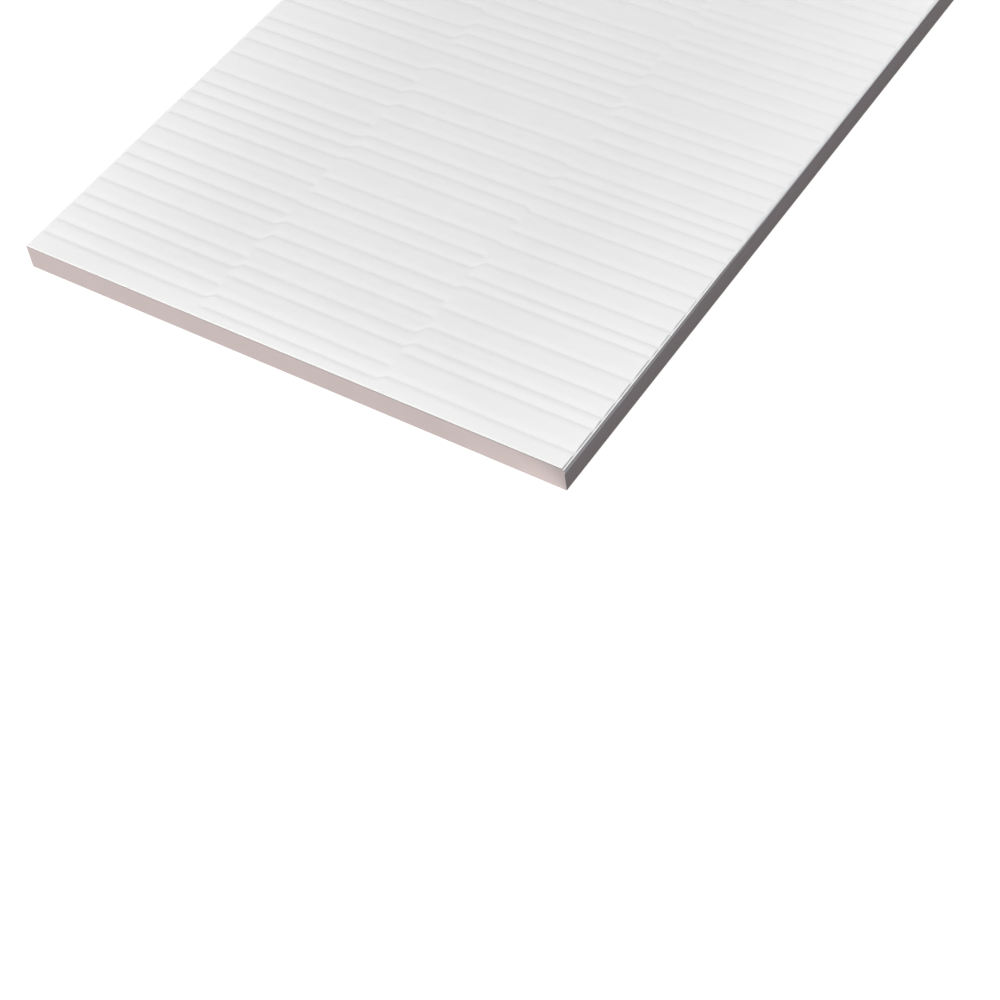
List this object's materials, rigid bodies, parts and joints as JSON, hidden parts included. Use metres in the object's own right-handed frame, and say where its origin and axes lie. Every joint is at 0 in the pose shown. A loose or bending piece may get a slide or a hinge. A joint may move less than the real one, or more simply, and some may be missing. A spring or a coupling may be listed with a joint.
{
  "type": "wall tile",
  "caption": "Rectangular white glazed ceramic wall tile with a shallow relief of cross bands in staggered columns and a keyed back for bonding to a wall.",
  "frame": {"origin": "middle of the back, on the plane that the tile lies on", "axes": "+Z out of the glazed face, +Y along the long side away from the short edge shown in front, +X along the short side to the right as seen from that edge"},
  "size_m": [0.2, 0.5, 0.009],
  "materials": {
    "tile": "white satin glaze on the face, bare pinkish beige biscuit on the edges and the back"
  },
  "bodies": {
    "root": {"tile": "tile"}
  },
  "joints": []
}
